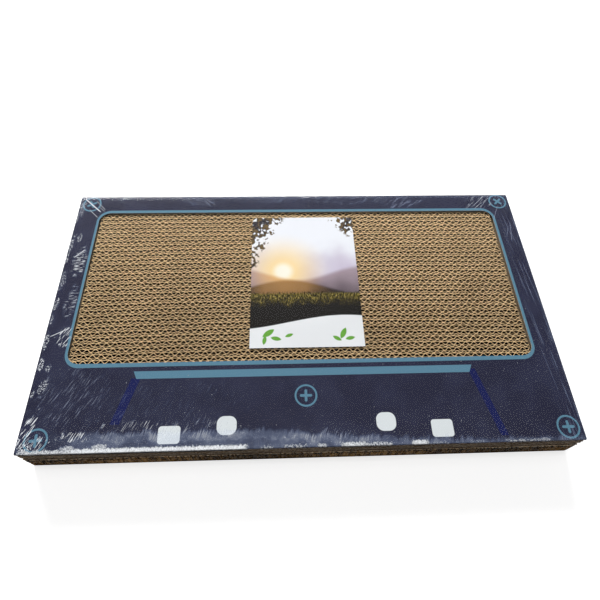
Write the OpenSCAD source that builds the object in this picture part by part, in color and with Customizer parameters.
// Cardboard cat scratcher: a flat slab of glued corrugated board, printed on top,
// with a scratching pad in its window, a paper card on the pad and shrink film around it all.
// Millimetres. The origin is the middle of the underside, +X right, +Y away, +Z up.

/* [Board] */
// Thickness of the double-wall board that the sheets and strips are cut from
board_t = 5.5; // [5:0.1:7]
// Thickness of the glue between one board and the next
glue_t = 0.1; // [0.05:0.05:0.3]
// Thickness of the base sheet
base_t = 1.5; // [0.8:0.1:4]
// Thickness of the printed face, a fine-fluted board
face_t = 1.6; // [0.8:0.1:4]

/* [Pad] */
// Number of strips in the scratching pad
pad_rows = 30; // [28:1:34]
// Length of the pad's strips, left to right
pad_w = 418.3; // [300:0.1:600]
// Gap between the pad and the frame around it
pad_gap = 1; // [0.2:0.1:2]

/* [Frame] */
// Number of strips in the front rail, under the wide border
front_rows = 13; // [1:1:17]
// Number of strips in the rear rail
rear_rows = 4; // [1:1:8]
// Number of strips in each side rail
side_rows = 4; // [1:1:12]
// Height of the rails under the frame sheets
rail_h = 19.8; // [10:0.1:40]
// Number of frame sheets laid flat on the rails
frame_layers = 3; // [1:1:4]

/* [Window] */
// Overlap of the printed face on the pad's edges
window_lap = 0.4; // [0.1:0.1:3]
// Radius of the window's corners
window_r = 11; // [2:0.5:25]

/* [Card] */
// Width of the label card
card_w = 105; // [60:1:130]
// Depth of the label card
card_d = 148; // [80:1:150]
// Thickness of the label card
card_t = 0.3; // [0.2:0.05:0.8]
// How far the card lies to the right of the window's middle
card_right = 3.8; // [-100:0.1:100]
// How far the card lies behind the window's middle
card_back = 2.8; // [-4:0.1:4]
// Size of the card's bent corner
card_corner = 4; // [1:0.5:10]

/* [Film] */
// Thickness of the shrink film
film_t = 0.05; // [0.02:0.01:0.3]

/* [Hidden] */
// From one glued board to the next, and the thickness of several together
pitch = board_t + glue_t;
function rows_t(rows) = rows * pitch - glue_t;

// The glued block: the pad with the rails around it
pad_d = rows_t(pad_rows);
block_w = pad_w + 2 * (pad_gap + rows_t(side_rows));
block_d = pad_d + 2 * pad_gap + rows_t(front_rows) + rows_t(rear_rows);

// Heights of the layers, from the underside up
base_z = film_t;
rail_z = base_z + base_t + glue_t;
sheet_z = rail_z + rail_h + glue_t;
face_z = sheet_z + frame_layers * pitch;
pad_top = face_z - glue_t;
block_top = face_z + face_t;

// The wrapped slab
slab_w = block_w + 2 * film_t;
slab_d = block_d + 2 * film_t;
slab_h = block_top + film_t;

// Where the pad begins, and the window over it
pad_front = rows_t(front_rows) + pad_gap - block_d / 2;
window_y = pad_front + pad_d / 2;
window_w = pad_w - 2 * window_lap;
window_d = pad_d - 2 * window_lap;

// Where the side rails begin and end, between the front and rear rails
side_front = front_rows * pitch - block_d / 2;
side_rear = block_d / 2 - rear_rows * pitch;

// How far the cutters run past what they cut
overrun = 1;

function two_digits(i) = str(i < 10 ? "0" : "", i);
function front_name(i) = str("front_rail_strip_", two_digits(i));
function rear_name(i) = str("rear_rail_strip_", two_digits(i));
function pad_name(i) = str("pad_strip_", two_digits(i));
function sheet_name(i) = str("frame_sheet_", i);

// One strip of board on edge, from its front left corner at the origin
module strip(length, height) {
    cube([length, board_t, height]);
}

// A block centred left to right and front to back, standing on z = 0
module centred_block(width, depth, height) {
    translate([-width / 2, -depth / 2, 0]) cube([width, depth, height]);
}

// A flat outline with round corners, about its middle
module round_rectangle(width, depth, radius) {
    square([width - 2 * radius, depth], center = true);
    square([width, depth - 2 * radius], center = true);
    for (x = [-1, 1], y = [-1, 1])
        translate([x * (width / 2 - radius), y * (depth / 2 - radius)]) circle(r = radius, $fn = 96);
}

// The printed top board, with its round-cornered window
module printed_face() {
    color("#2e3044")
        translate([0, 0, face_z])
            linear_extrude(face_t)
                difference() {
                    square([block_w, block_d], center = true);
                    translate([0, window_y]) round_rectangle(window_w, window_d, window_r);
                }
}

// A flat board of the frame, cut out around the pad
module frame_sheet(i) {
    hole_w = pad_w + 2 * pad_gap;
    hole_d = pad_d + 2 * pad_gap;
    color("#a98a62")
        translate([0, 0, sheet_z + (i - 1) * pitch])
            difference() {
                centred_block(block_w, block_d, board_t);
                translate([0, window_y, -overrun]) centred_block(hole_w, hole_d, board_t + 2 * overrun);
            }
}

// The strips of the front rail, counted from the front
module front_rail_strip(i) {
    color("#9a7848")
        translate([-block_w / 2, (i - 1) * pitch - block_d / 2, rail_z]) strip(block_w, rail_h);
}

// The strips of the rear rail, counted from the back
module rear_rail_strip(i) {
    color("#9a7848")
        translate([-block_w / 2, block_d / 2 - board_t - (i - 1) * pitch, rail_z])
            strip(block_w, rail_h);
}

// The short strips of a side rail, from the outer side inwards: side is -1 left, 1 right
module side_rail(side) {
    color("#9a7848")
        for (i = [1:side_rows]) {
            middle_x = side * (block_w / 2 - board_t / 2 - (i - 1) * pitch);
            translate([middle_x - board_t / 2, side_front, rail_z])
                cube([board_t, side_rear - side_front, rail_h]);
        }
}

// One row of the scratching pad, counted from the front
module pad_strip(i) {
    color("#b8925e")
        translate([-pad_w / 2, pad_front + (i - 1) * pitch, rail_z]) strip(pad_w, pad_top - rail_z);
}

// The thin board under the strips
module base_sheet() {
    color("#a98a62")
        translate([0, 0, base_z]) centred_block(block_w, block_d, base_t);
}

// The paper card on the pad, with its rear left corner bent away
module label_card() {
    left = card_right - card_w / 2;
    right = card_right + card_w / 2;
    front = window_y + card_back - card_d / 2;
    rear = window_y + card_back + card_d / 2;
    color("#e4e8ea")
        translate([0, 0, pad_top])
            linear_extrude(card_t)
                polygon([
                    [left, front], [right, front], [right, rear],
                    [left + card_corner, rear], [left, rear - card_corner]
                ]);
}

// The closed skin of film around the block
module shrink_film() {
    color("#dfe8ee", 0.25)
        difference() {
            centred_block(slab_w, slab_d, slab_h);
            translate([0, 0, film_t]) centred_block(block_w, block_d, block_top - base_z);
        }
}

printed_face();
label_card();
shrink_film();
base_sheet();
side_rail(-1);  // left_rail
side_rail(1);  // right_rail
for (i = [1:frame_layers]) frame_sheet(i);
for (i = [1:front_rows]) front_rail_strip(i);
for (i = [1:rear_rows]) rear_rail_strip(i);
for (i = [1:pad_rows]) pad_strip(i);
